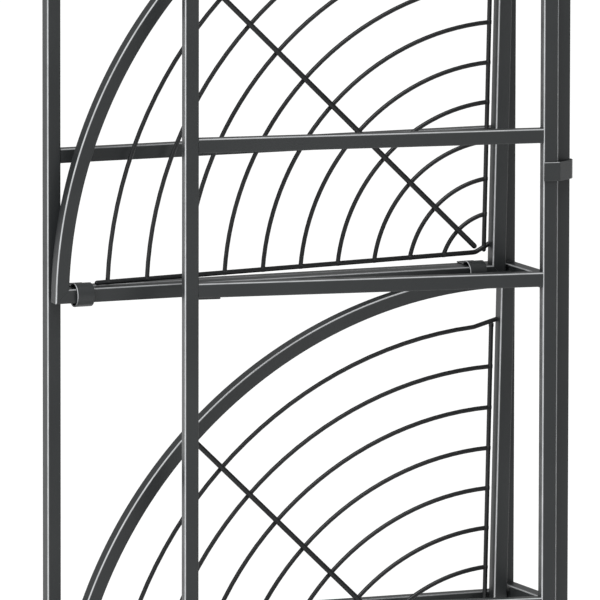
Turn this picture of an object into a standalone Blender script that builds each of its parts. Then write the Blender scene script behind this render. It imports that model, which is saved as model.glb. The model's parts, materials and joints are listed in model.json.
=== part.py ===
"""Folding quarter-round corner rack of square steel tube, standing folded.

+X runs along the back panel from its free post to the corner post, -Y is the front, +Z is up.
A fixed back panel and a short fixed side frame meet at the corner post.  A gate hangs on the side
frame's front post by wrapped straps, and quarter-round wire shelves hang on the back panel by
wrapped sleeves.  Stored folded: the shelves are tipped up and the gate is closed in front of them.
"""

from math import acos, asin, atan2, ceil, cos, hypot, pi, radians, sin, sqrt, tan

import bpy
from mathutils import Vector

# ---------------------------------------------------------------- sizes, in metres
GAP = 0.0003                # space between neighbouring pieces
TUBE = 0.0135               # outside of every square tube
WALL = 0.0010               # wall of the tube

TOP_MARGIN = 0.02725        # a tipped top shelf's length ends this far below the post tops
TOP_RAIL_DROP = 0.012       # post tops to the top rails' axes
FOOT_HEIGHT = 0.008         # foot plug under each post
FOOT_CHAMFER = 0.0012
POST_CAP = 0.0012           # closed top of a post

BACK_WIDTH = 0.4685         # back panel, post axis to post axis
SIDE_DEPTH = 0.126          # side frame, post axis to post axis
GATE_LEAN = radians(9.0)    # folded gate, turned toward the back panel
GATE_SET_BACK = 0.0006      # gate's inner face behind the front of the side frame
GATE_PAST_SHELF = 0.0150    # lowered shelf's corner to the open gate's free post

LOWEST_SHELF = 0.125        # floor to the lowest shelf's hinge axis
SHELF_PITCH = 0.4485        # shelf to shelf
BACK_GUARD_RISE = 0.131     # above each shelf's hinge axis
GATE_GUARD_RISE = 0.145
SIDE_GUARD_RISE = 0.1385
GATE_BAR_RISE = 0.008       # gate's bar beside a shelf
SIDE_BAR_RISE = 0.0         # side frame's bar beside a shelf
STRAP_RISE = 0.111
TIERS = (1, 2, 3)
SIDE_GUARD_TIERS = (1,)     # only the lowest tier has a guard rail on the short side

SHEET = 0.0015              # sheet metal of sleeves, straps and rests
TURN_CLEARANCE = 0.0003     # between a turning tube's corners and what wraps it
WRAP_STEPS = 20             # flats round a sleeve or strap
SLEEVE_LENGTH = 0.0175
SLEEVE_INSET_LEFT = 0.0205  # hinge tube's left end to its sleeve
SLEEVE_INSET_RIGHT = 0.0075 # shelf's side tube to the other sleeve
SLEEVE_LEG = 0.0055         # sleeve's legs reach this far behind the bar's axis
STRAP_HEIGHT = 0.018
STRAP_LEG = 0.0150          # flat part of the strap on the gate's hinge post

BAR_CLEARANCE = 0.0004      # turning hinge tube's corners to the bar behind it
STACK_CLEARANCE = 0.0028    # tipped shelf's tip to the sleeves of the shelf above
SHELF_SIDE_CLEAR = 0.0040   # side tube to the side frame's bars
SHELF_END_INSET = 0.0015    # arc tube's foot from the left post's axis
ARC_CENTRE_INSET = 0.0055   # arc tube's centre from the side tube's axis
ARC_STEPS = 24

WIRE_RADIUS = 0.00215
RIM_RADIUS = 0.00228
UPRIGHT_RIM_RADIUS = 0.0022
WIRE_COUNT = 10
FIRST_WIRE = 0.0565         # radius of the innermost arc
LAST_WIRE_INSET = 0.0445    # arc tube's centre line to the outermost wire
WIRE_SPREAD = 1.055         # above 1, the arcs lie farther apart toward the outside
RIM_CLEARANCE = 0.00047     # lower rim wire's free end to the hinge tube
RIM_SLEEVE_AIR = 0.0050     # its bent end to the sleeves
RIM_SIDE_AIR = 0.0027       # upright rim wire to the side tube
RIM_TAIL = 0.0130           # lower rim past the outermost arc
RIM_BEND = 0.0075           # how far a bent end leaves its line
RIM_BEND_RUN = 0.01365      # length over which it does
OUTER_BEND = 0.0055
WIRE_SIDES = 8
WIRE_STEP = 0.026           # longest straight piece of an arc wire

ROD_RADIUS = 0.0026
ROD_START_INSET = 0.0170    # rod's free end from the arcs' centre
ROD_START_RISE = 0.0240
ROD_ANGLE = radians(43.5)
ROD_CLEARANCE = 0.00035     # rod to the wires above it
ROD_SIDES = 12

GATE_REST_LENGTH = 0.024
SHELF_TILT = radians(0.8)   # lowered shelf, front edge above level
REST_GRIP = 0.010           # rest's upright leg on the bar's inner face
REST_COVER = 0.0080         # how much of the side tube lies on the lip

HALF = TUBE / 2
GATE_STEP = HALF - GATE_SET_BACK                       # gate's inner face from its hinge axis
TURN_RADIUS = HALF * sqrt(2) + TURN_CLEARANCE
LOOP_OUTER = TURN_RADIUS + SHEET
SHELF_FORWARD = HALF + HALF * sqrt(2) + BAR_CLEARANCE + TURN_CLEARANCE
SHELF_LEAN = asin((HALF + LOOP_OUTER + STACK_CLEARANCE) / (SHELF_PITCH - LOOP_OUTER))
SHELF_RIGHT = -HALF - SHELF_SIDE_CLEAR - HALF          # side tube's axis
ARC_CENTRE = SHELF_RIGHT - ARC_CENTRE_INSET
WIRE_CENTRE = SHELF_RIGHT                              # centre of the arc wires
ARC_RADIUS = BACK_WIDTH - SHELF_END_INSET + ARC_CENTRE # arc tube's centre line
RACK_HEIGHT = LOWEST_SHELF + (len(TIERS) - 1) * SHELF_PITCH + ARC_RADIUS + HALF + TOP_MARGIN
GATE_LENGTH = SHELF_FORWARD + ARC_RADIUS + TUBE + GATE_PAST_SHELF - SIDE_DEPTH
GATE_FORWARD = HALF + GATE_STEP
GATE_POST_U = HALF + sqrt((TURN_RADIUS + 2 * GAP) ** 2 - GATE_STEP ** 2)
RIM_LOW = HALF + RIM_RADIUS + RIM_CLEARANCE            # lower rim's free end, from the hinge axis
RIM_HIGH = LOOP_OUTER + RIM_RADIUS + RIM_SLEEVE_AIR    # and where it bends to the side tube
RIM_X = SHELF_RIGHT - HALF - RIM_RADIUS - RIM_SIDE_AIR
LAST_WIRE = ARC_RADIUS - LAST_WIRE_INSET
RIM_BEND_X = SHELF_RIGHT - HALF - GAP - RIM_BEND_RUN
RIM_SLOPE = (RIM_HIGH - RIM_LOW) / (RIM_BEND_X - WIRE_CENTRE + LAST_WIRE + RIM_TAIL)
WIRE_DEPTH = RIM_RADIUS - HALF                         # wires level with the tubes' far side
ROD_DEPTH = WIRE_DEPTH + RIM_RADIUS + ROD_CLEARANCE + ROD_RADIUS
REST_TIP = SHELF_RIGHT + HALF - REST_COVER             # lip's end under the lowered shelf
REST_REACH = SIDE_DEPTH + GATE_LENGTH - HALF - GAP - GATE_REST_LENGTH - SHELF_FORWARD
REST_LEVEL = REST_REACH * tan(SHELF_TILT) - HALF / cos(SHELF_TILT) - GAP   # lip, from the hinge
MITRE_BACK = GAP * 0.75

COAT = (0.040, 0.043, 0.046, 1.0)
SHEET_COAT = (0.046, 0.049, 0.052, 1.0)
WIRE_COAT = (0.034, 0.036, 0.039, 1.0)
PLASTIC = (0.020, 0.020, 0.021, 1.0)
COAT_ROUGHNESS = 0.42
PLASTIC_ROUGHNESS = 0.55


# ---------------------------------------------------------------- frames the pieces are drawn in
def world(x, y, z):
    return Vector((x, y, z))


def gate_point(u, v, z):
    """u from the gate's hinge axis to its free post, v to the front."""
    x = -u * cos(GATE_LEAN) - v * sin(GATE_LEAN)
    y = u * sin(GATE_LEAN) - v * cos(GATE_LEAN)
    return Vector((x, y - SIDE_DEPTH, z))


def shelf_height(tier):
    return LOWEST_SHELF + (tier - 1) * SHELF_PITCH


def shelf_point(tier, x, up, out):
    """up along the tipped shelf from its hinge axis, out from its underside."""
    y = -SHELF_FORWARD - up * sin(SHELF_LEAN) - out * cos(SHELF_LEAN)
    z = shelf_height(tier) + up * cos(SHELF_LEAN) - out * sin(SHELF_LEAN)
    return Vector((x, y, z))


def underside(tier):
    """The direction a tipped shelf's underside faces."""
    return shelf_point(tier, 0, 0, 1) - shelf_point(tier, 0, 0, 0)


# ---------------------------------------------------------------- mesh helpers
def coat(name, colour, roughness):
    material = bpy.data.materials.new(name)
    material.use_nodes = True
    shader = material.node_tree.nodes["Principled BSDF"]
    shader.inputs["Base Color"].default_value = colour
    shader.inputs["Metallic"].default_value = 0.0
    shader.inputs["Roughness"].default_value = roughness
    material.diffuse_color = colour
    return material


def piece(name, points, faces, origin, colour=COAT, roughness=COAT_ROUGHNESS):
    """One named object with its origin where it turns or stands."""
    origin = Vector(origin)
    mesh = bpy.data.meshes.new(name)
    mesh.from_pydata([tuple(p - origin) for p in points], [], faces)
    mesh.validate()
    mesh.materials.append(coat(name + "_finish", colour, roughness))
    made = bpy.data.objects.new(name, mesh)
    made.location = origin
    bpy.context.scene.collection.objects.link(made)
    return made


def square(half):
    return [(-half, -half), (half, -half), (half, half), (-half, half)]


def circle(radius, sides):
    turn = [2 * pi * (i + 0.5) / sides for i in range(sides)]
    return [(radius * cos(a), radius * sin(a)) for a in turn]


def rings(path, flat, first_cut, last_cut, loop):
    """The loop at each point of the path, mitred between neighbouring straights."""
    runs = [(b - a).normalized() for a, b in zip(path, path[1:])]
    cuts = [first_cut or runs[0]]
    cuts += [(a + b).normalized() for a, b in zip(runs, runs[1:])]
    cuts += [last_cut or runs[-1]]
    made = []
    for i, (point, cut) in enumerate(zip(path, cuts)):
        run = runs[min(i, len(runs) - 1)]
        across = flat.cross(run).normalized()
        for a, b in loop:
            corner = point + across * a + flat * b
            corner += run * ((point - corner).dot(cut) / run.dot(cut))
            made.append(corner)
    return made


def sides_of(start, rows, count, outward):
    faces = []
    for row in range(rows - 1):
        for i in range(count):
            j = (i + 1) % count
            a, b = start + row * count + i, start + row * count + j
            face = (a, b, b + count, a + count)
            faces.append(face if outward else face[::-1])
    return faces


def tube_shape(path, flat, first_cut=None, last_cut=None, wall=WALL, capped_end=0.0):
    """Square tube along a path.  capped_end closes the far end with that thickness."""
    outer = rings(path, flat, first_cut, last_cut, square(HALF))
    inner_path = list(path)
    if capped_end:
        inner_path[-1] = path[-1] - (path[-1] - path[-2]).normalized() * capped_end
    inner = rings(inner_path, flat, first_cut, last_cut, square(HALF - wall))
    rows = len(path)
    base = len(outer)
    faces = sides_of(0, rows, 4, True) + sides_of(base, rows, 4, False)
    last = (rows - 1) * 4
    for i in range(4):
        j = (i + 1) % 4
        faces.append((j, i, base + i, base + j))
        if not capped_end:
            faces.append((last + i, last + j, base + last + j, base + last + i))
    if capped_end:
        faces.append(tuple(last + i for i in range(4)))
        faces.append(tuple(base + last + i for i in (3, 2, 1, 0)))
    return outer + inner, faces


def rod_shape(path, flat, radius, sides=WIRE_SIDES, last_cut=None):
    points = rings(path, flat, None, last_cut, circle(radius, sides))
    last = (len(path) - 1) * sides
    faces = sides_of(0, len(path), sides, True)
    faces.append(tuple(range(sides - 1, -1, -1)))
    faces.append(tuple(last + i for i in range(sides)))
    return points, faces


def prism_shape(outline, place, low, high):
    """A flat outline pushed from low to high.  place(a, b, height) gives the corner."""
    count = len(outline)
    points = [place(a, b, low) for a, b in outline] + [place(a, b, high) for a, b in outline]
    faces = sides_of(0, 2, count, True)
    faces.append(tuple(range(count - 1, -1, -1)))
    faces.append(tuple(range(count, 2 * count)))
    top = points[count:]
    turning = sum((a.cross(b) for a, b in zip(top, top[1:] + top[:1])), Vector())
    if turning.dot(top[0] - points[0]) < 0:
        faces = [face[::-1] for face in faces]
    return points, faces


def wrap(radius, start, stop, steps):
    turn = [start + (stop - start) * i / steps for i in range(steps + 1)]
    return [(radius * cos(a), radius * sin(a)) for a in turn]


# ---------------------------------------------------------------- fixed frame
def posts():
    axes = {
        "back_left_post": world(-BACK_WIDTH, 0, 0),
        "corner_post": world(0, 0, 0),
        "side_front_post": world(0, -SIDE_DEPTH, 0),
    }
    for name, axis in axes.items():
        upright(name, axis, axis, Vector((1, 0, 0)), COAT)
        foot(name.replace("post", "foot"), axis, axis, Vector((1, 0, 0)))


def upright(name, axis, origin, flat, colour):
    path = [axis + world(0, 0, FOOT_HEIGHT + GAP), axis + world(0, 0, RACK_HEIGHT)]
    points, faces = tube_shape(path, flat, capped_end=POST_CAP)
    return piece(name, points, faces, origin, colour)


def foot(name, axis, origin, flat):
    across = Vector((0, 0, 1)).cross(flat)
    levels = [(0, HALF - FOOT_CHAMFER), (FOOT_CHAMFER, HALF), (FOOT_HEIGHT, HALF)]
    points = []
    for height, half in levels:
        points += [axis + flat * a + across * b + world(0, 0, height) for a, b in square(half)]
    faces = sides_of(0, 3, 4, True) + [(3, 2, 1, 0), (8, 9, 10, 11)]
    return piece(name, points, faces, origin, PLASTIC, PLASTIC_ROUGHNESS)


def bar(name, start, stop, origin, colour=COAT):
    """A level bar between two uprights, stopping a gap short of each."""
    run = (stop - start).normalized()
    path = [start + run * (HALF + GAP), stop - run * (HALF + GAP)]
    points, faces = tube_shape(path, Vector((0, 0, 1)))
    return piece(name, points, faces, origin, colour)


def fixed_bars():
    left, corner, front = (-BACK_WIDTH, 0), (0, 0), (0, -SIDE_DEPTH)
    top = RACK_HEIGHT - TOP_RAIL_DROP
    bar("back_top_rail", world(*left, top), world(*corner, top), world(*left, top))
    bar("side_top_rail", world(*corner, top), world(*front, top), world(*corner, top))
    for tier in TIERS:
        height = shelf_height(tier)
        runs = [
            ("back_guard_rail", left, corner, height + BACK_GUARD_RISE),
            ("back_shelf_bar", left, corner, height),
            ("side_shelf_bar", corner, front, height + SIDE_BAR_RISE),
        ]
        if tier in SIDE_GUARD_TIERS:
            runs.append(("side_guard_rail", corner, front, height + SIDE_GUARD_RISE))
        for name, start, stop, z in runs:
            bar(f"{name}_{tier}", world(*start, z), world(*stop, z), world(*start, z))


def sleeve_outline():
    """Keyhole section: round the turning tube, with legs along the back panel's bar."""
    leg = HALF + GAP
    inner_turn = asin(leg / TURN_RADIUS)
    outer_turn = asin((leg + SHEET) / LOOP_OUTER)
    inside = wrap(TURN_RADIUS, inner_turn, 2 * pi - inner_turn, WRAP_STEPS)
    outside = wrap(LOOP_OUTER, 2 * pi - outer_turn, outer_turn, WRAP_STEPS)
    back = SHELF_FORWARD + SLEEVE_LEG
    return (
        [(back, leg)] + inside + [(back, -leg), (back, -leg - SHEET)]
        + outside + [(back, leg + SHEET)]
    )


def sleeves():
    left_end = ARC_CENTRE - ARC_RADIUS - HALF
    starts = {
        "left": left_end + SLEEVE_INSET_LEFT,
        "right": SHELF_RIGHT - HALF - SLEEVE_INSET_RIGHT - SLEEVE_LENGTH,
    }
    for tier in TIERS:
        for side, start in starts.items():
            def place(a, b, x):
                return world(x, a - SHELF_FORWARD, b + shelf_height(tier))
            points, faces = prism_shape(sleeve_outline(), place, start, start + SLEEVE_LENGTH)
            origin = world(start, -SHELF_FORWARD, shelf_height(tier))
            piece(f"hinge_sleeve_{side}_{tier}", points, faces, origin, SHEET_COAT)


# ---------------------------------------------------------------- gate
def gate():
    axis = world(0, -SIDE_DEPTH, 0)
    flat = (gate_point(1, 0, 0) - gate_point(0, 0, 0)).normalized()
    ends = {"gate_hinge": GATE_POST_U, "gate_free": GATE_LENGTH}
    for name, u in ends.items():
        upright(name + "_post", gate_point(u, GATE_FORWARD, 0), axis, flat, COAT)
        foot(name + "_foot", gate_point(u, GATE_FORWARD, 0), axis, flat)
    heights = {"gate_top_rail": RACK_HEIGHT - TOP_RAIL_DROP}
    for tier in TIERS:
        heights[f"gate_guard_rail_{tier}"] = shelf_height(tier) + GATE_GUARD_RISE
        heights[f"gate_shelf_bar_{tier}"] = shelf_height(tier) + GATE_BAR_RISE
        gate_strap(tier, axis)
        gate_rest(tier, axis)
    for name, z in heights.items():
        start = gate_point(GATE_POST_U, GATE_FORWARD, z)
        bar(name, start, gate_point(GATE_LENGTH, GATE_FORWARD, z), axis)


def strap_outline():
    """Round the side frame's front post, then flat along the front of the gate's hinge post."""
    flat = GATE_FORWARD + HALF + GAP
    leg_end = GATE_POST_U + HALF - GAP
    knee = leg_end - STRAP_LEG
    touch = atan2(flat, knee) + acos(TURN_RADIUS / hypot(knee, flat))
    outline = [(leg_end, flat), (knee, flat)]
    outline += wrap(TURN_RADIUS, touch, 2 * pi, WRAP_STEPS)
    outline += wrap(LOOP_OUTER, 2 * pi, touch, WRAP_STEPS)
    outer_knee = knee - SHEET * tan((touch - pi / 2) / 2)
    outline += [(outer_knee, flat + SHEET), (leg_end, flat + SHEET)]
    return outline


def gate_strap(tier, axis):
    middle = shelf_height(tier) + STRAP_RISE
    low, high = middle - STRAP_HEIGHT / 2, middle + STRAP_HEIGHT / 2
    points, faces = prism_shape(strap_outline(), gate_point, low, high)
    piece(f"gate_strap_{tier}", points, faces, axis, SHEET_COAT)


def gate_rest(tier, axis):
    """L section on the gate's inner face beside its free post: an upright leg on the shelf bar and
    a lip that swings in under the lowered shelf's corner."""
    def place(a, b, u):
        return gate_point(u, a, b)
    face = GATE_STEP - GAP
    low = shelf_height(tier) + REST_LEVEL - SHEET
    high = shelf_height(tier) + GATE_BAR_RISE - HALF + REST_GRIP
    outline = [
        (face, high), (face, low), (REST_TIP, low), (REST_TIP, low + SHEET),
        (face - SHEET, low + SHEET), (face - SHEET, high),
    ]
    stop = GATE_LENGTH - HALF - GAP
    points, faces = prism_shape(outline, place, stop - GATE_REST_LENGTH, stop)
    piece(f"gate_shelf_rest_{tier}", points, faces, axis, SHEET_COAT)


# ---------------------------------------------------------------- shelves
def shelf_frame(tier):
    def at(x, up):
        return shelf_point(tier, x, up, 0)
    flat = underside(tier)
    right = Vector((1, 0, 0))
    up = (at(0, 1) - at(0, 0)).normalized()
    rising, falling = (right + up).normalized(), (right - up).normalized()
    origin = shelf_point(tier, 0, 0, 0)
    left = ARC_CENTRE - ARC_RADIUS

    step = (pi / 2) / ARC_STEPS
    corner = ARC_RADIUS / cos(step / 2)
    path = [at(left, MITRE_BACK)]
    for i in range(ARC_STEPS):
        a = pi - step * (i + 0.5)
        path.append(at(ARC_CENTRE + corner * cos(a), corner * sin(a)))
    path.append(at(SHELF_RIGHT - MITRE_BACK, ARC_RADIUS))
    points, faces = tube_shape(path, flat, -falling, falling)
    piece(f"shelf_arc_tube_{tier}", points, faces, origin)

    path = [at(left + MITRE_BACK, 0), at(SHELF_RIGHT - MITRE_BACK, 0)]
    points, faces = tube_shape(path, flat, falling, rising)
    piece(f"shelf_hinge_tube_{tier}", points, faces, origin)

    path = [at(SHELF_RIGHT, MITRE_BACK), at(SHELF_RIGHT, ARC_RADIUS - MITRE_BACK)]
    points, faces = tube_shape(path, flat, rising, -falling)
    piece(f"shelf_side_tube_{tier}", points, faces, origin)


def wire_paths():
    """A shelf's wires: their centre lines as (x, up) lists, radius, whether they meet the side tube."""
    weld = SHELF_RIGHT - HALF - GAP
    slope = atan2(RIM_SLOPE, 1)
    rise = RIM_HIGH + RIM_SLOPE * (WIRE_CENTRE - RIM_BEND_X)   # the rim's line, over the centre
    left = WIRE_CENTRE - LAST_WIRE - RIM_TAIL
    lower_rim = [(left, RIM_LOW), (RIM_BEND_X, RIM_HIGH), (weld, RIM_HIGH + RIM_BEND)]
    top = sqrt(LAST_WIRE ** 2 - (RIM_X - WIRE_CENTRE) ** 2)
    upright_rim = [(RIM_X, RIM_HIGH + RIM_RADIUS), (RIM_X, top)]
    paths = [(lower_rim, RIM_RADIUS, True), (upright_rim, UPRIGHT_RIM_RADIUS, False)]
    for i in range(WIRE_COUNT):
        share = i / (WIRE_COUNT - 1)
        radius = FIRST_WIRE + (LAST_WIRE - FIRST_WIRE) * share ** WIRE_SPREAD
        start = pi + slope - asin(rise * cos(slope) / radius)
        stop = acos((RIM_X - WIRE_CENTRE) / radius)
        steps = ceil(radius * (start - stop) / WIRE_STEP)
        turn = [start + (stop - start) * k / steps for k in range(steps + 1)]
        path = [(WIRE_CENTRE + radius * cos(a), radius * sin(a)) for a in turn]
        outermost = i == WIRE_COUNT - 1
        if outermost:
            path.append((weld, path[-1][1] + OUTER_BEND))
        paths.append((path, WIRE_RADIUS, outermost))
    return paths


def shelf_grille(tier):
    """All the wires of a shelf welded into one net."""
    flat = underside(tier)
    origin = shelf_point(tier, 0, 0, 0)
    helpers = bpy.data.collections.new(f"wires_{tier}")
    bpy.context.scene.collection.children.link(helpers)
    net = None
    for i, (path, radius, to_tube) in enumerate(wire_paths()):
        line = [shelf_point(tier, x, up, WIRE_DEPTH) for x, up in path]
        cut = Vector((1, 0, 0)) if to_tube else None
        points, faces = rod_shape(line, flat, radius, last_cut=cut)
        if net is None:
            net = piece(f"shelf_grille_{tier}", points, faces, origin, WIRE_COAT)
            continue
        wire = piece(f"wire_{tier}_{i}", points, faces, origin, WIRE_COAT)
        bpy.context.scene.collection.objects.unlink(wire)
        helpers.objects.link(wire)
        wire.hide_render = True
        wire.display_type = "WIRE"
    weld = net.modifiers.new("weld", "BOOLEAN")
    weld.operation = "UNION"
    weld.solver = "EXACT"
    weld.operand_type = "COLLECTION"
    weld.collection = helpers


def shelf_rod(tier):
    """Straight rod under the wires, from the arc tube toward the corner."""
    flat = underside(tier)
    x, up = -ROD_START_INSET, ROD_START_RISE
    run_x, run_up = -cos(ROD_ANGLE), sin(ROD_ANGLE)
    reach = ARC_RADIUS - HALF - GAP - ROD_RADIUS * abs(sin(ROD_ANGLE - atan2(up, -x)))
    along = x * run_x + up * run_up
    length = sqrt(along ** 2 - x ** 2 - up ** 2 + reach ** 2) - along
    ends = [(x, up), (x + run_x * length, up + run_up * length)]
    line = [shelf_point(tier, ARC_CENTRE + a, b, ROD_DEPTH) for a, b in ends]
    points, faces = rod_shape(line, flat, ROD_RADIUS, ROD_SIDES)
    piece(f"shelf_rod_{tier}", points, faces, shelf_point(tier, 0, 0, 0))


# ---------------------------------------------------------------- assembly
def centre_on_floor(made):
    """Move everything so the rack's bounding box stands centred on the origin."""
    corners = [o.location + v.co for o in made for v in o.data.vertices]
    for axis in (0, 1):
        low, high = min(c[axis] for c in corners), max(c[axis] for c in corners)
        for o in made:
            o.location[axis] -= (low + high) / 2


def main():
    for old in list(bpy.data.objects):
        bpy.data.objects.remove(old, do_unlink=True)
    posts()
    fixed_bars()
    sleeves()
    gate()
    for tier in TIERS:
        shelf_frame(tier)
        shelf_grille(tier)
        shelf_rod(tier)
    centre_on_floor(list(bpy.data.objects))


main()
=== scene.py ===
"""Looks of the folding quarter-round corner rack: rounded square tube, welds, wire nets, wrapped
sheet hinges and a satin powder coat.  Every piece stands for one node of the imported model."""

import json
from math import asin, acos, atan2, cos, hypot, pi, radians, sin, sqrt

import bpy
import numpy as np
from mathutils import Matrix, Vector

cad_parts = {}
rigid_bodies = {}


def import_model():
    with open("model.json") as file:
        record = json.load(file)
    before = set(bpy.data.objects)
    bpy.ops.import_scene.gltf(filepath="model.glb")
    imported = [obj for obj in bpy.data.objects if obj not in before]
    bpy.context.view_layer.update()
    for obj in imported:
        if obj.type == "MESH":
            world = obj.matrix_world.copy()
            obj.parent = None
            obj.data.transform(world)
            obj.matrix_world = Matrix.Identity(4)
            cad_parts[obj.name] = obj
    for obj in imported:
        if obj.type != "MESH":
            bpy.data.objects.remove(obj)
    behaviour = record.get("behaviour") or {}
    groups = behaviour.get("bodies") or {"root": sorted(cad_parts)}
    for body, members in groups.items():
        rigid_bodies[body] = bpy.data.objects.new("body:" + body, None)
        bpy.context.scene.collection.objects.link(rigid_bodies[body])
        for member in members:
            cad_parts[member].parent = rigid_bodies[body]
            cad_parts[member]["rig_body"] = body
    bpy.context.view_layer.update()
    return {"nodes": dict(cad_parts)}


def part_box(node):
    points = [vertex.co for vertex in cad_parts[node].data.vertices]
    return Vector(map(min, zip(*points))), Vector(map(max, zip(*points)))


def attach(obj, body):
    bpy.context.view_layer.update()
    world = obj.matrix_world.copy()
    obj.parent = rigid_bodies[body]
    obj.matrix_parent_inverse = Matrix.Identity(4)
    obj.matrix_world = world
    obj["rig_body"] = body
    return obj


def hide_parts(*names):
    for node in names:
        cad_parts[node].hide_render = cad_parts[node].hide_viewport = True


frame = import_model()

# ---------------------------------------------------------------- sizes, in metres
TUBE = 0.0135
HALF = TUBE / 2
TUBE_CORNER = 0.0010          # outside corner radius of the square tube
CORNER_STEPS = 5
FLAT_HOLD = 0.00035           # ring of points just inside each flat, keeps it flat when shaded
TIP_TURNS = np.radians((82.0, 60.0, 35.0, 12.0, 0.0))
CAP_ROUND = 0.0014            # rounding of a post's closed top

SHEET = 0.0015
SHEET_CORNER = 0.0005
TURN_CLEARANCE = 0.0003
TURN_RADIUS = HALF * sqrt(2) + TURN_CLEARANCE
LOOP_MIDDLE = TURN_RADIUS + SHEET / 2
PIECE_GAP = 0.0003
LEG_RISE = HALF + PIECE_GAP + SHEET / 2      # sleeve's legs from the bar's axis
SLEEVE_LEG = 0.0055
STRAP_LEG = 0.0150
GATE_REST_LENGTH = 0.024

WIRE_RADIUS = 0.00215
RIM_RADIUS = 0.00228
UPRIGHT_RIM_RADIUS = 0.0022
WIRE_SIDES = 14
WIRE_COUNT = 10
FIRST_WIRE = 0.0565
LAST_WIRE_INSET = 0.0445
WIRE_SPREAD = 1.055           # above 1, the arcs lie farther apart toward the outside
RIM_LOW = HALF + RIM_RADIUS + 0.00047                 # lower rim's free end, from the hinge axis
RIM_HIGH = TURN_RADIUS + SHEET + RIM_RADIUS + 0.0050  # and where it bends to the side tube
RIM_SIDE_AIR = 0.0027
RIM_TAIL = 0.0130
RIM_BEND = 0.0075
RIM_BEND_RUN = 0.01365
OUTER_BEND = 0.0055
WIRE_DEPTH = RIM_RADIUS - HALF
ROD_RADIUS = 0.0026
ROD_START = (-0.0170, 0.0240)
ROD_ANGLE = radians(43.5)
ROD_DEPTH = WIRE_DEPTH + RIM_RADIUS + 0.00035 + ROD_RADIUS
ARC_STEP = radians(1.25)

WELD_RADIUS = 0.0011
WELD_INSET = 0.0016           # a weld's ends from the tube's faces
WELD_RIPPLE = 0.0011          # length of one ripple along a weld
WELD_SIDES = 10
NUGGET = 0.0010               # spot weld between two wires
WIRE_NUGGET = 2.6 * NUGGET    # half length of an arc's weld to a rim wire
ROD_NUGGET = 2.2 * NUGGET     # and of the rod's weld to an arc
REST_WELD_RADIUS = 0.0007

SHEET_STEP = 0.0007           # spacing of points along a bent sheet
REST_STEP = 0.0006
RIM_STEP = 0.003              # and along the lower rim
RIM_STRAIGHT = 0.004          # rim kept straight before its bend
MITRE_SEAM = 0.0001           # from a shelf tube's mitre to the corner
END_CLEAR = 1.1               # no path points nearer an end than this many end radii
SHARP_ANGLE = radians(42)

X, Y, Z = np.eye(3)
# Corners that face this way are painted pale.  It stands in for the bright line that a rounded
# corner catches from the light; being paint, it stays put when the light, view or pose changes.
PALE_TOWARD = np.array([-0.66, -0.62, 0.42])
PALE_AT = 0.85                # how squarely a corner faces that way to be palest


# ---------------------------------------------------------------- shapes
def unit(v):
    return v / np.linalg.norm(v, axis=-1, keepdims=True)


def rounded_rectangle(half_a, half_b, radius, steps=CORNER_STEPS):
    """Section with a quarter circle about each corner's centre, and one more point on the flat at
    each side of it.  Returns its points and how much each belongs to a corner, from 0 to 1."""
    quarter = np.linspace(0, pi / 2, steps + 1)
    turn = quarter + pi / 2 * np.arange(4)[:, None]
    normal = np.stack([np.cos(turn), np.sin(turn)], -1)
    along = np.stack([-np.sin(turn), np.cos(turn)], -1)
    centre = np.array([(1, 1), (-1, 1), (-1, -1), (1, -1)]) * (half_a - radius, half_b - radius)
    arc = centre[:, None] + radius * normal
    before = arc[:, :1] - FLAT_HOLD * along[:, :1]
    after = arc[:, -1:] + FLAT_HOLD * along[:, -1:]
    corner = np.ones(steps + 3)
    corner[[0, -1]] = 0.0
    corner[[1, -2]] = 0.5
    return np.concatenate([before, arc, after], 1).reshape(-1, 2), np.tile(corner, 4)


def circle(radius, sides=WIRE_SIDES):
    """Round section: cosine and sine of even turns, times the radius."""
    turn = 2 * pi * (np.arange(sides) + 0.5) / sides
    return radius * np.stack([np.cos(turn), np.sin(turn)], -1), np.zeros(sides)


def carry(path, flat, section, first_cut=None, last_cut=None, share=None):
    """A section carried along a path.  Each ring stands across the run that leaves its point, is
    multiplied by its share, and slides along the run onto the plane halfway between two runs."""
    path = np.asarray(path, float)
    run = unit(np.diff(path, axis=0))
    ahead, behind = np.vstack([run, run[-1:]]), np.vstack([run[:1], run])
    cut = unit(ahead + behind)
    if first_cut is not None:
        cut[0] = first_cut
    if last_cut is not None:
        cut[-1] = last_cut
    across = unit(np.cross(flat, ahead))
    loop = section[0][None] * (1.0 if share is None else np.asarray(share)[:, None, None])
    points = path[:, None] + across[:, None] * loop[..., :1] + flat * loop[..., 1:]
    slide = np.einsum("rsk,rk->rs", path[:, None] - points, cut)
    slide /= np.einsum("rk,rk->r", ahead, cut)[:, None]
    return points + ahead[:, None] * slide[..., None]


def painted_highlight_share(path, flat, section):
    """Share of painted highlight at each point of a carried section: nothing on the flats, and on a
    corner the third power of how squarely it faces PALE_TOWARD."""
    run = unit(np.diff(np.asarray(path, float), axis=0))
    across = unit(np.cross(flat, np.vstack([run, run[-1:]])))
    outward = np.sign(section[0]) / sqrt(2)
    facing = np.outer(across @ PALE_TOWARD, outward[:, 0]) + (flat @ PALE_TOWARD) * outward[:, 1]
    return section[1] * np.clip(facing / PALE_AT, 0, 1) ** 3


def length_along(path):
    return np.concatenate([[0], np.cumsum(np.linalg.norm(np.diff(path, axis=0), axis=1))])


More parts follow.
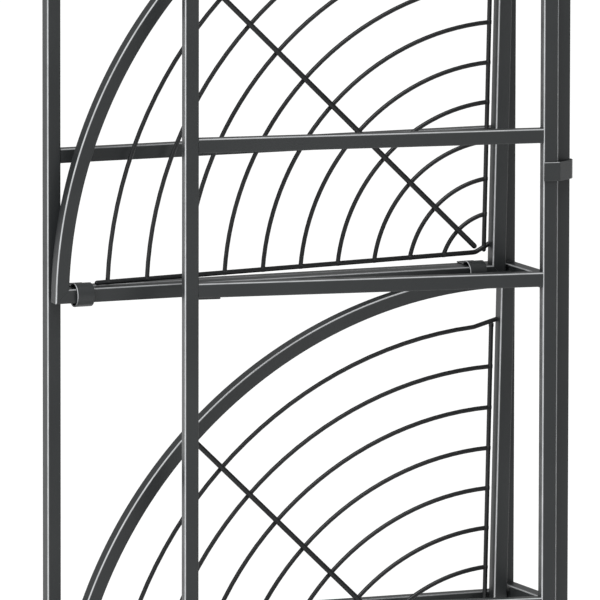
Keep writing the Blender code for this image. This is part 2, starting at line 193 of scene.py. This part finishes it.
def drawn_in(path, radius, half, first=True, last=True):
    """The path with more points at its ends and the share of the section at each: the section
    draws in along a quarter circle of the radius, so the end is rounded over."""
    path = np.asarray(path, float)
    back = radius * (1 - np.sin(TIP_TURNS))[:, None]
    small = 1 - radius * (1 - np.cos(TIP_TURNS)) / half
    far = length_along(path)
    clear = END_CLEAR * radius
    inner = path[(far > clear * first) & (far < far[-1] - clear * last)][0 if first else 1:]
    inner = inner if last else inner[:-1]
    start, stop = path[:1], path[-1:]
    head = start + unit(path[1] - path[0]) * back if first else start
    tail = (stop - unit(path[-1] - path[-2]) * back)[::-1] if last else stop
    share = [small if first else [1.0], np.ones(len(inner)), small[::-1] if last else [1.0]]
    return np.vstack([head, inner, tail]), np.concatenate(share)


def eased(path, spacing, rounds=2):
    """The path at even spacing with every corner cut: each round puts two points on each run, a
    quarter in from its ends, and keeps the path's own ends."""
    path = np.asarray(path, float)
    length = length_along(path)
    even = np.linspace(0, length[-1], int(length[-1] / spacing) + 2)
    path = np.stack([np.interp(even, length, path[:, k]) for k in range(path.shape[1])], -1)
    for _ in range(rounds):
        a, b = path[:-1], path[1:]
        inner = np.stack([0.75 * a + 0.25 * b, 0.25 * a + 0.75 * b], 1).reshape(-1, path.shape[1])
        path = np.vstack([path[:1], inner, path[-1:]])
    return path


class Shell:
    """The skins of one piece, gathered grid by grid."""

    def __init__(self):
        self.points, self.corner, self.faces, self.count = [], [], [], 0

    def skin(self, grid, corner):
        """Rings joined by four-sided faces, with a flat face at each end."""
        rows, sides = grid.shape[:2]
        index = self.count + np.arange(rows * sides).reshape(rows, sides)
        turned = np.roll(index, -1, axis=1)
        quads = np.stack([index[:-1], turned[:-1], turned[1:], index[1:]], -1)
        self.faces += quads.reshape(-1, 4).tolist()
        self.faces += [index[0, ::-1].tolist(), index[-1].tolist()]
        self.points.append(grid.reshape(-1, 3))
        self.corner.append(np.broadcast_to(corner, (rows, sides)).ravel())
        self.count += rows * sides
        return self

    def tube(self, path, flat, first_cut=None, last_cut=None, share=None):
        section = rounded_rectangle(HALF, HALF, TUBE_CORNER)
        grid = carry(path, flat, section, first_cut, last_cut, share)
        return self.skin(grid, painted_highlight_share(path, flat, section))

    def rod(self, path, flat, radius, last_cut=None, round_end=True):
        path, share = drawn_in(path, radius, radius, True, round_end)
        section = circle(radius)
        return self.skin(carry(path, flat, section, None, last_cut, share), section[1])

    def strip(self, path, flat, width):
        """Sheet metal bent along a path, with softened edges."""
        section = rounded_rectangle(SHEET / 2, width / 2, SHEET_CORNER, 3)
        path, share = drawn_in(path, SHEET_CORNER, SHEET / 2)
        share = 1 - (1 - share) * SHEET / width
        return self.skin(carry(path, flat, section, share=share), painted_highlight_share(path, flat, section))

    def weld(self, start, stop, flat, radius=WELD_RADIUS):
        """Bead of a weld: a round section that swells and thins like a row of overlapping drops."""
        length = np.linalg.norm(np.subtract(stop, start))
        steps = max(int(length / WELD_RIPPLE * 4), 8)
        at = np.linspace(0, 1, steps + 1)
        drop = np.abs(np.sin(pi * at * length / WELD_RIPPLE))
        end = np.sqrt(np.clip(1 - np.abs(2 * at - 1) ** 6, 0.02, 1))
        path = start + np.outer(at, np.subtract(stop, start))
        section = circle(radius, WELD_SIDES)
        return self.skin(carry(path, flat, section, share=(0.86 + 0.14 * drop) * end), section[1])

    def piece(self, node, made_of, finish, slot):
        """The finished piece: it stands for its node and rides on that node's body."""
        mesh = bpy.data.meshes.new(f"{node}_{made_of}")
        mesh.from_pydata(np.concatenate(self.points).tolist(), [], self.faces)
        mesh.shade_smooth()
        mesh.set_sharp_from_angle(angle=SHARP_ANGLE)
        # The corner attribute holds each point's share of the painted highlight; rods and welds get
        # none.
        mesh.attributes.new("corner", "FLOAT", "POINT").data.foreach_set(
            "value", np.concatenate(self.corner).astype(np.float32))
        mesh.materials.append(finish)
        made = bpy.data.objects.new(f"{node}_{made_of}", mesh)
        bpy.context.scene.collection.objects.link(made)
        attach(made, frame["nodes"][node]["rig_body"])
        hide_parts(node)
        return made


# ---------------------------------------------------------------- finishes
class Value:
    """A number on its way through a finish.  Arithmetic on it adds Math nodes."""

    def __init__(self, finish, socket):
        self.finish, self.socket = finish, socket

    def worked_out(self, operation, *terms):
        settings = {"operation": operation}
        return self.finish.node("ShaderNodeMath", settings, dict(enumerate(terms)))

    def __add__(self, other):
        return self.worked_out("ADD", self, other)

    def __mul__(self, other):
        return self.worked_out("MULTIPLY", self, other)

    def __sub__(self, other):
        return self.worked_out("SUBTRACT", self, other)

    def __rsub__(self, other):
        return self.worked_out("SUBTRACT", other, self)

    __radd__, __rmul__ = __add__, __mul__


class Finish:
    """One material, built from a Principled shader."""

    def __init__(self, name):
        self.material = bpy.data.materials.new(name)
        self.material.use_nodes = True
        self.tree = self.material.node_tree
        self.shader = self.tree.nodes["Principled BSDF"]

    def put(self, socket, value):
        if isinstance(value, Value):
            self.tree.links.new(value.socket, socket)
        else:
            socket.default_value = value

    def node(self, kind, settings=None, values=None, output=0):
        made = self.tree.nodes.new(kind)
        for key, value in (settings or {}).items():
            setattr(made, key, value)
        for key, value in (values or {}).items():
            self.put(made.inputs[key], value)
        return Value(self, made.outputs[output])

    def noise(self, scale, detail=2.0):
        where = self.node("ShaderNodeTexCoord", output="Object")
        return self.node("ShaderNodeTexNoise", None,
                         {"Vector": where, "Scale": scale, "Detail": detail}, "Fac")

    def mix(self, share, one, other):
        return self.node("ShaderNodeMix", {"data_type": "RGBA"}, {0: share, 6: one, 7: other}, 2)

    def smooth(self, value, low, high):
        """0 below low, 1 above high and a soft step between."""
        settings = {"interpolation_type": "SMOOTHSTEP"}
        return self.node("ShaderNodeMapRange", settings,
                         {"Value": value, "From Min": low, "From Max": high})

    def set(self, **values):
        for key, value in values.items():
            self.put(self.shader.inputs[key.replace("_", " ")], value)
        return self.material


# Colour of the painted highlight: a pale line on corners that stands for the light they catch.
PAINTED_HIGHLIGHT_COLOUR = (0.50, 0.51, 0.52, 1)


def powder_coat(name, dark, light, roughness, peel_scale=750.0, peel=0.10):
    """Satin powder coat.  Tone drifts slowly from dark to light, fine grains break it up, and the
    skin has a fine orange peel.  The corner attribute mixes in a painted highlight on the corners."""
    f = Finish(name)
    drift = f.noise(7.0, 3.0)
    grain = f.noise(2600.0, 1.0)
    flow = f.noise(peel_scale, 2.0)
    corner = f.node("ShaderNodeAttribute", {"attribute_name": "corner"}, output="Fac")
    highlight_break_up = f.smooth(f.noise(60.0, 2.0), 0.30, 0.70)
    tone = f.smooth(drift * 0.7 + grain * 0.3, 0.36, 0.64)
    # Painted highlight: the corner attribute, broken up a little by noise, mixes a pale colour into
    # the coat.
    painted_highlight = corner * (0.80 + highlight_break_up * 0.20)
    colour = f.mix(painted_highlight, f.mix(tone, (*dark, 1), (*light, 1)), PAINTED_HIGHLIGHT_COLOUR)
    skin = f.node("ShaderNodeBump", None,
                  {"Strength": peel, "Distance": 0.0002, "Height": flow + grain * 0.2})
    rough = roughness + (flow - 0.5) * 0.10 + (grain - 0.5) * 0.06 - corner * 0.10
    return f.set(Base_Color=colour, Roughness=rough, Normal=skin, Metallic=0.0, IOR=1.5,
                 Specular_IOR_Level=0.36)


def moulded_plastic(name, dark, light):
    """Matt black plug with a faint mould texture and scattered scuffs."""
    f = Finish(name)
    texture = f.noise(1800.0, 2.0)
    scuff = f.smooth(f.noise(240.0, 4.0), 0.52, 0.70)
    colour = f.mix(scuff * 0.5, (*dark, 1), (*light, 1))
    skin = f.node("ShaderNodeBump", None, {"Strength": 0.2, "Distance": 0.0002, "Height": texture})
    return f.set(Base_Color=colour, Roughness=0.55 + (texture - 0.5) * 0.2 - scuff * 0.08,
                 Normal=skin, Metallic=0.0)


TUBE_FINISH = powder_coat(
    "tube_powder_coat", (0.0200, 0.0222, 0.0232), (0.0275, 0.0300, 0.0308), 0.38)
SHEET_FINISH = powder_coat(
    "sheet_powder_coat", (0.0225, 0.0248, 0.0258), (0.031, 0.0335, 0.0345), 0.40)
WIRE_FINISH = powder_coat(
    "wire_powder_coat", (0.0075, 0.0082, 0.0090), (0.0130, 0.0140, 0.0150), 0.36, 1100.0, 0.08)
FOOT_FINISH = moulded_plastic("foot_moulded_plastic", (0.012, 0.012, 0.013), (0.035, 0.035, 0.036))


# ---------------------------------------------------------------- where the nodes are
def low(node):
    return np.array(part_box(node)[0])


def high(node):
    return np.array(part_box(node)[1])


def middle(node):
    return (low(node) + high(node)) / 2


def axis_at(post, z):
    """The point on a post's axis at that height."""
    return np.array([*middle(post)[:2], z])


def direction(start, stop):
    """Level direction from one post's axis to another's."""
    return unit(axis_at(stop, 0) - axis_at(start, 0))


TIERS = sorted(int(n[-1]) for n in frame["nodes"] if n.startswith("shelf_hinge_tube"))
GATE_RUN = direction("gate_hinge_post", "gate_free_post")
GATE_FRONT = np.cross(Z, GATE_RUN)
POSTS = {
    "back_left_post": X, "corner_post": X, "side_front_post": X,
    "gate_hinge_post": GATE_RUN, "gate_free_post": GATE_RUN,
}


# ---------------------------------------------------------------- uprights, feet and bars
def upright(post, flat):
    """Square tube with a closed, rounded-over top."""
    path = [axis_at(post, low(post)[2]), axis_at(post, high(post)[2])]
    path, share = drawn_in(path, CAP_ROUND, HALF, first=False)
    Shell().tube(path, flat, share=share).piece(post, "square_tube", TUBE_FINISH, "frame_coat")


def foot(post, flat):
    """Plug under a post: rounded square rings whose width swells above the floor and dips in a
    groove at mid height."""
    node = post.replace("post", "foot")
    base, top = low(node)[2], high(node)[2]
    at = np.linspace(0, 1, 25)
    swell = 1 - 0.20 * np.clip(1 - at / 0.22, 0, 1) ** 2
    groove = 1 - 0.05 * np.exp(-((at - 0.60) / 0.05) ** 2)
    path = axis_at(post, base) + np.outer(at * (top - base), Z)
    Shell().tube(path, flat, share=swell * groove).piece(
        node, "moulded_plug", FOOT_FINISH, "foot_plastic")


def bar(node, start, stop):
    """Level bar between two uprights, welded above and below at both ends."""
    z = middle(node)[2]
    run = direction(start, stop)
    side = np.cross(Z, run)
    ends = [axis_at(start, z) + run * HALF, axis_at(stop, z) - run * HALF]
    shell = Shell().tube(ends, Z)
    for end in ends:
        for rise in (HALF, -HALF):
            reach = side * (HALF - WELD_INSET)
            shell.weld(end + Z * rise - reach, end + Z * rise + reach, Z)
    shell.piece(node, "welded_bar", TUBE_FINISH, "frame_coat")


def frames():
    for post, flat in POSTS.items():
        upright(post, flat)
        foot(post, flat)
    spans = {"back": ("back_left_post", "corner_post"), "side": ("corner_post", "side_front_post"),
             "gate": ("gate_hinge_post", "gate_free_post")}
    for node in sorted(frame["nodes"]):
        side = node.split("_")[0]
        if side in spans and ("_rail" in node or "_bar_" in node):
            bar(node, *spans[side])


# ---------------------------------------------------------------- sheet metal
def arc_about(radius, start, stop, steps=40):
    turn = np.linspace(start, stop, steps + 1)
    return radius * np.stack([np.cos(turn), np.sin(turn)], -1)


def sleeve(node, tier):
    """Sheet wrapped round the turning tube: a straight leg on top of the bar behind it, most of a
    circle, and a leg below the bar."""
    hinge = middle(f"shelf_hinge_tube_{tier}")
    back = middle(f"back_shelf_bar_{tier}")[1] - hinge[1] + SLEEVE_LEG
    meet = asin(LEG_RISE / LOOP_MIDDLE)
    around = arc_about(LOOP_MIDDLE, meet, 2 * pi - meet)
    outline = eased(np.vstack([[(back, LEG_RISE)], around, [(back, -LEG_RISE)]]), SHEET_STEP)
    centre = np.array([middle(node)[0], *hinge[1:]])
    path = centre + outline[:, :1] * Y + outline[:, 1:] * Z
    width = high(node)[0] - low(node)[0]
    Shell().strip(path, X, width).piece(node, "wrapped_sheet", SHEET_FINISH, "sheet_coat")


def strap(node):
    """Sheet wrapped round the side frame's front post, then joggled flat onto the gate's post."""
    axis = axis_at("side_front_post", middle(node)[2])
    to_post = axis_at("gate_hinge_post", axis[2]) - axis
    flat = to_post @ GATE_FRONT + HALF + PIECE_GAP + SHEET / 2
    leg_end = to_post @ GATE_RUN + HALF - PIECE_GAP
    knee = leg_end - STRAP_LEG
    touch = atan2(flat, knee) + acos(LOOP_MIDDLE / hypot(knee, flat))
    around = arc_about(LOOP_MIDDLE, touch, 2 * pi)
    outline = eased(np.vstack([[(leg_end, flat), (knee, flat)], around]), SHEET_STEP)
    path = axis + outline[:, :1] * GATE_RUN + outline[:, 1:] * GATE_FRONT
    width = high(node)[2] - low(node)[2]
    Shell().strip(path, Z, width).piece(node, "wrapped_sheet", SHEET_FINISH, "sheet_coat")


def rest(node, centre, inward, along, length):
    """Bent sheet: a leg on the bar's inner face and a lip that the lowered shelf lies on.  centre is
    on the bar's face, inward points off it."""
    top, lip = high(node)[2], low(node)[2] + SHEET / 2
    half = REST_REACH - SHEET / 2 - length / 2
    outline = eased([(SHEET / 2, top), (SHEET / 2, lip), (REST_REACH, lip)], REST_STEP, 3)
    path = centre + outline[:, :1] * inward + (outline[:, 1:] - centre[2]) * Z
    shell = Shell().strip(path, along, length)
    head = centre + Z * (top - centre[2])
    shell.weld(head + along * half, head - along * half, Z, REST_WELD_RADIUS)
    shell.piece(node, "bent_lip", SHEET_FINISH, "sheet_coat")


# the lip's reach, from how deep the turned rest stands in the room
REST_REACH = ((high("gate_shelf_rest_1")[1] - low("gate_shelf_rest_1")[1]
               - GATE_REST_LENGTH * abs(GATE_RUN[1])) / abs(GATE_FRONT[1]))


def rests():
    for tier in TIERS:
        node = f"gate_shelf_rest_{tier}"
        free = axis_at("gate_free_post", middle(node)[2])
        centre = free - GATE_RUN * (HALF + PIECE_GAP + GATE_REST_LENGTH / 2)
        centre = centre - GATE_FRONT * (HALF + PIECE_GAP)
        rest(node, centre, -GATE_FRONT, GATE_RUN, GATE_REST_LENGTH)


# ---------------------------------------------------------------- shelves
class Shelf:
    """Frame of one tipped shelf: right along its hinge, up along its wires, out of its underside."""

    def __init__(self, tier):
        self.tier = tier
        hinge, side = middle(f"shelf_hinge_tube_{tier}"), middle(f"shelf_side_tube_{tier}")
        rise = side - hinge
        rise[0] = 0
        self.reach = 2 * np.linalg.norm(rise)
        self.up, self.axis = unit(rise), hinge * (Y + Z)
        self.out = np.cross(X, self.up)
        self.right = side[0]
        self.left = low(f"shelf_hinge_tube_{tier}")[0] + HALF
        self.centre = self.left + self.reach

    def at(self, x, up, out=0.0):
        x, up = np.broadcast_arrays(np.asarray(x, float), np.asarray(up, float))
        return self.axis + x[..., None] * X + up[..., None] * self.up + out * self.out

    def tubes(self):
        rising, falling = unit(X + self.up), unit(X - self.up)
        turn = np.linspace(pi, pi / 2, int(pi / 2 / ARC_STEP) + 1)
        x, up = self.centre + self.reach * np.cos(turn), self.reach * np.sin(turn)
        up[0] += MITRE_SEAM
        x = np.append(x, self.right - MITRE_SEAM)
        arc = self.at(x, np.append(up, self.reach))
        runs = {
            "arc": (arc, -falling, falling),
            "hinge": (self.at([self.left + MITRE_SEAM, self.right - MITRE_SEAM], 0),
                      falling, rising),
            "side": (self.at(self.right, [MITRE_SEAM, self.reach - MITRE_SEAM]),
                     rising, -falling),
        }
        for name, (path, first, last) in runs.items():
            Shell().tube(path, self.out, first, last).piece(
                f"shelf_{name}_tube_{self.tier}", "square_tube", TUBE_FINISH, "frame_coat")

    def arcs(self):
        """Radii of the arc wires, from the corner out."""
        share = np.linspace(0, 1, WIRE_COUNT) ** WIRE_SPREAD
        return FIRST_WIRE + (self.reach - LAST_WIRE_INSET - FIRST_WIRE) * share

    def net(self):
        """Arcs about the side tube's foot, welded to two rim wires."""
        weld_x = self.right - HALF
        rim_x = self.right - HALF - RIM_RADIUS - RIM_SIDE_AIR
        last_wire = self.reach - LAST_WIRE_INSET
        shell = Shell()
        left = self.right - last_wire - RIM_TAIL
        bend = weld_x - PIECE_GAP - RIM_BEND_RUN
        grade = (RIM_HIGH - RIM_LOW) / (bend - left)
        slope, rise = atan2(grade, 1), RIM_HIGH + grade * (self.right - bend)
        lower = eased([(left, RIM_LOW), (bend - RIM_STRAIGHT, RIM_HIGH - RIM_STRAIGHT * grade),
                       (bend, RIM_HIGH), (weld_x, RIM_HIGH + RIM_BEND)], RIM_STEP)
        shell.rod(self.at(lower[:, 0], lower[:, 1], WIRE_DEPTH), self.out, RIM_RADIUS, X, False)
        top = sqrt(last_wire ** 2 - (rim_x - self.right) ** 2)
        shell.rod(self.at(rim_x, [RIM_HIGH, top], WIRE_DEPTH), self.out, UPRIGHT_RIM_RADIUS)
        for radius in self.arcs():
            start = pi + slope - asin(rise * cos(slope) / radius)
            stop = acos((rim_x - self.right) / radius)
            turn = np.linspace(start, stop, max(int((start - stop) / ARC_STEP / 2), 8))
            x, up = self.right + radius * np.cos(turn), radius * np.sin(turn)
            outermost = radius > last_wire - WIRE_RADIUS
            if outermost:
                x, up = np.append(x, weld_x), np.append(up, up[-1] + OUTER_BEND)
            shell.rod(self.at(x, up, WIRE_DEPTH), self.out, WIRE_RADIUS,
                      X if outermost else None, not outermost)
            for k, along in ((0, X), (-2 if outermost else -1, self.up)):
                spot = self.at(x[k], up[k], WIRE_DEPTH)
                shell.weld(spot - along * WIRE_NUGGET, spot + along * WIRE_NUGGET, self.out,
                           RIM_RADIUS + 0.0003)
        shell.piece(f"shelf_grille_{self.tier}", "wire_net", WIRE_FINISH, "wire_coat")

    def rod(self):
        """Straight rod under the arcs, spot welded to each of them."""
        run = np.array([-cos(ROD_ANGLE), sin(ROD_ANGLE)])
        start = np.array(ROD_START)
        along = start @ run
        from_centre = start @ start - along ** 2

        def length_to(radius):
            return np.sqrt(radius ** 2 - from_centre) - along

        slant = atan2(start[1], -start[0])
        reach = self.reach - HALF - PIECE_GAP - ROD_RADIUS * abs(sin(ROD_ANGLE - slant))
        ends = start + np.outer([0, length_to(reach)], run)
        path = self.at(self.centre + ends[:, 0], ends[:, 1], ROD_DEPTH)
        shell = Shell().rod(path, self.out, ROD_RADIUS)
        begin = start + (self.centre - self.right, 0)
        ahead = begin @ run
        crossing = np.sqrt(self.arcs() ** 2 - begin @ begin + ahead ** 2) - ahead
        depth = ROD_DEPTH - ROD_RADIUS * 0.55
        for x, up in start + np.outer(crossing, run):
            spot = self.at(self.centre + x, up, depth)
            along = unit(self.up * -run[0] + X * run[1])
            shell.weld(spot - along * ROD_NUGGET, spot + along * ROD_NUGGET, self.out,
                       ROD_RADIUS * 0.62)
        shell.piece(f"shelf_rod_{self.tier}", "round_rod", WIRE_FINISH, "wire_coat")


frames()
rests()
for tier in TIERS:
    sleeve(f"hinge_sleeve_left_{tier}", tier)
    sleeve(f"hinge_sleeve_right_{tier}", tier)
    strap(f"gate_strap_{tier}")
    shelf = Shelf(tier)
    shelf.tubes()
    shelf.net()
    shelf.rod()


# ---------------------------------------------------------------- floor, light and camera
FLOOR_DROP = -0.0005
WORLD_STRENGTH = 0.35
AIM_LEFT, AIM_DOWN = 0.1969, 0.0311     # picture's centre from the corner post at tier 2's hinge
SENSOR = 36.0                           # millimetres


def floor(radius=14.0, sides=96):
    """Pale floor: one flat many-sided face, a hair below the feet."""
    turn = np.linspace(0, 2 * pi, sides + 1)[:-1]
    rim = np.stack([radius * np.cos(turn), radius * np.sin(turn), 0 * turn], -1)
    mesh = bpy.data.meshes.new("studio_floor")
    mesh.from_pydata(rim.tolist(), [], [list(range(sides))])
    f = Finish("studio_floor_paint")
    mesh.materials.append(f.set(Base_Color=(0.9, 0.9, 0.9, 1), Roughness=0.9))
    made = bpy.data.objects.new("studio_floor", mesh)
    made.location.z = FLOOR_DROP
    bpy.context.scene.collection.objects.link(made)


def panel_light(name, place, aim, width, height, power):
    """Soft rectangular light that faces a point."""
    light = bpy.data.lights.new(name, "AREA")
    light.shape, light.size, light.size_y, light.energy = "RECTANGLE", width, height, power
    made = bpy.data.objects.new(name, light)
    made.location, made.visible_camera = place, False
    made.rotation_euler = (Vector(aim) - Vector(place)).to_track_quat("-Z", "Y").to_euler()
    bpy.context.scene.collection.objects.link(made)


def sky_light(name, strength, azimuth, elevation, spread):
    light = bpy.data.lights.new(name, "SUN")
    light.energy, light.angle = strength, radians(spread)
    made = bpy.data.objects.new(name, light)
    a, e = radians(azimuth), radians(elevation)
    toward = Vector((sin(a) * cos(e), -cos(a) * cos(e), sin(e)))
    made.rotation_euler = (-toward).to_track_quat("-Z", "Y").to_euler()
    bpy.context.scene.collection.objects.link(made)


def studio():
    world = bpy.data.worlds.new("studio")
    world.use_nodes = True
    shade = world.node_tree.nodes["Background"]
    shade.inputs["Color"].default_value = (1, 1, 1, 1)
    shade.inputs["Strength"].default_value = WORLD_STRENGTH
    scene = bpy.context.scene
    scene.world = world
    scene.view_settings.view_transform = "Standard"
    floor()
    sky_light("overhead", 3.1, -50, 62, 50)
    panel_light("left_strip", (-1.9, -0.9, 0.9), (0, 0, 0.7), 0.5, 2.6, 10)


def camera(azimuth=-23.1, elevation=8.0, roll=0.11, width=0.574, distance=12.0):
    """Long lens, so the rack is seen almost without perspective.  width is how much of the rack the
    picture takes in."""
    a, e = radians(azimuth), radians(elevation)
    back = Vector((sin(a) * cos(e), -cos(a) * cos(e), sin(e)))
    right = Vector((cos(a), sin(a), 0))
    up = back.cross(right)
    post = Vector((*middle("corner_post")[:2], middle("shelf_hinge_tube_2")[2]))
    aim = post - right * AIM_LEFT - up * AIM_DOWN
    lens = bpy.data.cameras.new("camera")
    lens.sensor_width = SENSOR
    lens.lens = SENSOR * distance / width
    lens.clip_end = 60.0
    made = bpy.data.objects.new("camera", lens)
    turn = Matrix((right, up, back)).transposed() @ Matrix.Rotation(radians(roll), 3, "Z")
    made.matrix_world = Matrix.Translation(aim + back * distance) @ turn.to_4x4()
    bpy.context.scene.collection.objects.link(made)
    bpy.context.scene.camera = made


studio()
camera()
